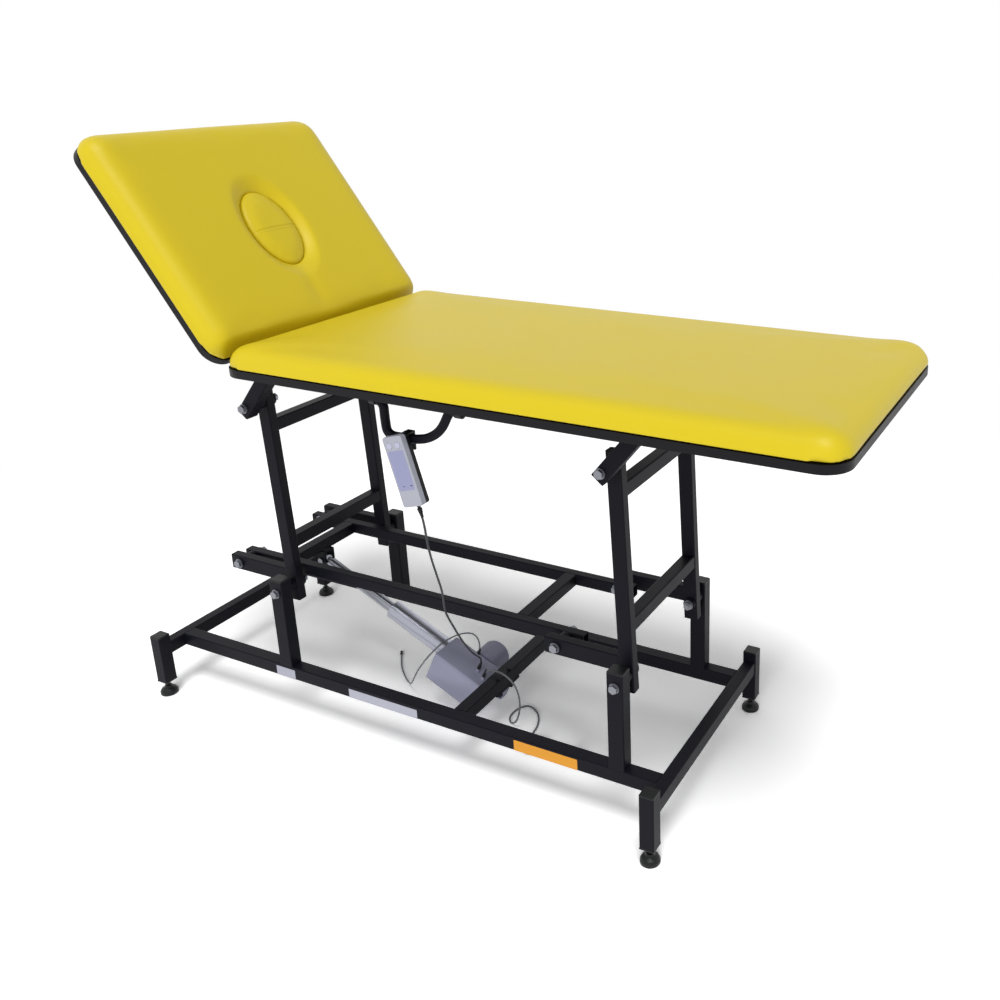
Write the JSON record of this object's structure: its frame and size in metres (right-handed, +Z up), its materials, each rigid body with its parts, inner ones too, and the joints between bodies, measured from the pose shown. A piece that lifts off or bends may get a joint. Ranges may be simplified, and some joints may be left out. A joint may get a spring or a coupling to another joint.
{
  "type": "treatment table",
  "caption": "Height-adjustable treatment table with raised backrest, plugged face hole, electric lift actuator, tubular leg frames and a wired hand control",
  "frame": {"origin": "on the floor, at the centre of the bounding box seen from above", "axes": "+X toward the foot end, +Y across to the side away from the hand control, +Z up"},
  "size_m": [1.87, 0.7, 1.4747],
  "materials": {
    "frame_paint": "satin dark powder coat",
    "zinc": "bright zinc plated steel",
    "tube_aluminium": "drawn, bright",
    "rod_steel": "ground steel rod",
    "housing_grey": "fine textured light grey plastic",
    "motor_grey": "fine textured grey plastic",
    "black_plastic": "moulded black plastic",
    "grey_plastic": "moulded light grey plastic",
    "button_plastic": "moulded grey plastic",
    "upholstery": "smooth yellow coated fabric",
    "board": "board covered in black coated fabric",
    "cord_black": "dark flexible sheath",
    "cord_grey": "grey flexible sheath"
  },
  "bodies": {
    "base": {"side_frame_front": "frame_paint", "side_frame_rear": "frame_paint", "base_end_head": "frame_paint", "base_end_foot": "frame_paint", "actuator_crossbar": "frame_paint", "tube_plugs": "black_plastic", "lower_pivot_bolts": "zinc", "actuator_bracket": "frame_paint", "mains_cord": "cord_grey", "mains_coil": "cord_grey", "mains_plug": "black_plastic"},
    "foot_head_front": {"levelling_foot_head_front": "black_plastic"},
    "foot_head_rear": {"levelling_foot_head_rear": "black_plastic"},
    "foot_foot_front": {"levelling_foot_foot_front": "black_plastic"},
    "foot_foot_rear": {"levelling_foot_foot_rear": "black_plastic"},
    "head_legs": {"leg_head_front": "frame_paint", "leg_head_rear": "frame_paint", "leg_head_low_tube": "frame_paint", "leg_head_high_tube": "frame_paint"},
    "foot_legs": {"leg_foot_front": "frame_paint", "leg_foot_rear": "frame_paint", "leg_foot_low_tube": "frame_paint", "leg_foot_high_tube": "frame_paint"},
    "middle_frame": {"middle_bar_front": "frame_paint", "middle_bar_rear": "frame_paint", "middle_tube_head": "frame_paint", "middle_tube_foot": "frame_paint", "middle_frame_bolts": "zinc"},
    "top_frame": {"top_side_front": "frame_paint", "top_side_rear": "frame_paint", "top_tube_head": "frame_paint", "top_tube_middle": "frame_paint", "top_tube_foot": "frame_paint", "upper_pivot_bolts": "zinc", "backrest_hinge_bolts": "zinc", "seat_board": "board", "seat_cushion": "upholstery", "release_loop_clips": "black_plastic"},
    "backrest": {"backrest_board": "board", "backrest_cushion": "upholstery", "backrest_rail_front": "frame_paint", "backrest_rail_rear": "frame_paint", "backrest_lever_tube": "frame_paint"},
    "plug": {"face_plug": "upholstery"},
    "gas_cylinder": {"gas_spring_cylinder": "black_plastic"},
    "gas_rod": {"gas_spring_rod": "rod_steel"},
    "lift_rod": {"actuator_rod": "rod_steel"},
    "lift_body": {"actuator_outer_tube": "tube_aluminium", "actuator_housing": "housing_grey", "actuator_motor": "motor_grey", "hand_control_cord": "cord_black", "spare_lead": "cord_grey"},
    "loop": {"release_loop": "black_plastic"},
    "hand_control": {"hand_control_front": "grey_plastic", "hand_control_back": "black_plastic"},
    "up_button": {"button_up": "button_plastic"},
    "down_button": {"button_down": "button_plastic"}
  },
  "joints": [
    {"name": "height_fold", "type": "hinge", "parent": "base", "child": "head_legs", "pos_m": [-0.528, 0, 0.359], "axis": [0, -1, 0], "range_deg": [0, 75], "deforming": ["hand_control_cord", "mains_cord", "spare_lead"]},
    {"name": "foot_legs_fold", "type": "hinge", "parent": "base", "child": "foot_legs", "pos_m": [0.433, 0, 0.359], "axis": [0, -1, 0], "range_deg": [0, 75]},
    {"name": "middle_frame_fold", "type": "hinge", "parent": "head_legs", "child": "middle_frame", "pos_m": [-0.706, 0, 0.381], "axis": [0, -1, 0], "range_deg": [-75, 0]},
    {"name": "top_frame_fold", "type": "hinge", "parent": "head_legs", "child": "top_frame", "pos_m": [-0.5486, 0, 0.847], "axis": [0, -1, 0], "range_deg": [-75, 0]},
    {"name": "lift_swing", "type": "hinge", "parent": "middle_frame", "child": "lift_rod", "pos_m": [-0.5885, 0, 0.336], "axis": [0, -1, 0], "range_deg": [0, 17.59]},
    {"name": "lift_stroke", "type": "slide", "parent": "lift_rod", "child": "lift_body", "axis": [-0.9057, 0, 0.4239], "range_m": [0, 0.14915]},
    {"name": "backrest_hinge", "type": "hinge", "parent": "top_frame", "child": "backrest", "pos_m": [-0.504, 0, 0.955], "axis": [0, 1, 0], "range_deg": [-53, 12]},
    {"name": "gas_spring_swing", "type": "hinge", "parent": "top_frame", "child": "gas_cylinder", "pos_m": [-0.18, 0, 0.89], "axis": [0, 1, 0], "range_deg": [-4.8, 1.09]},
    {"name": "gas_spring_stroke", "type": "slide", "parent": "gas_cylinder", "child": "gas_rod", "axis": [-0.9961, 0, 0.0882], "range_m": [-0.04411, 0.01006]},
    {"name": "face_plug_lift", "type": "slide", "parent": "backrest", "child": "plug", "axis": [0.7986, 0, 0.6018], "range_m": [0, 0.08]},
    {"name": "release_loop_swing", "type": "hinge", "parent": "top_frame", "child": "loop", "pos_m": [0.0215, -0.302, 0.955], "axis": [-1, 0, 0], "range_deg": [0, 12]},
    {"name": "hand_control_lift", "type": "slide", "parent": "loop", "child": "hand_control", "axis": [0, 0, 1], "range_m": [0, 0.025]},
    {"name": "up_button_press", "type": "slide", "parent": "hand_control", "child": "up_button", "axis": [0, 1, 0], "range_m": [0, 0.0012], "stiffness_N_per_m": 400},
    {"name": "down_button_press", "type": "slide", "parent": "hand_control", "child": "down_button", "axis": [0, 1, 0], "range_m": [0, 0.0012], "stiffness_N_per_m": 400},
    {"name": "levelling_head_front", "type": "slide", "parent": "base", "child": "foot_head_front", "axis": [0, 0, -1], "range_m": [0, 0.012]},
    {"name": "levelling_head_rear", "type": "slide", "parent": "base", "child": "foot_head_rear", "axis": [0, 0, -1], "range_m": [0, 0.012]},
    {"name": "levelling_foot_front", "type": "slide", "parent": "base", "child": "foot_foot_front", "axis": [0, 0, -1], "range_m": [0, 0.012]},
    {"name": "levelling_foot_rear", "type": "slide", "parent": "base", "child": "foot_foot_rear", "axis": [0, 0, -1], "range_m": [0, 0.012]}
  ],
  "couplings": [
    {"joint": "foot_legs_fold", "follows": "height_fold", "ratio": 1},
    {"joint": "middle_frame_fold", "follows": "height_fold", "ratio": -1},
    {"joint": "top_frame_fold", "follows": "height_fold", "ratio": -1},
    {"joint": "lift_swing", "follows": "height_fold", "ratio": 0.23437},
    {"joint": "lift_stroke", "follows": "height_fold", "m_per_rad": 0.11387},
    {"joint": "gas_spring_swing", "follows": "backrest_hinge", "ratio": 0.090561},
    {"joint": "gas_spring_stroke", "follows": "backrest_hinge", "m_per_rad": 0.047579}
  ]
}
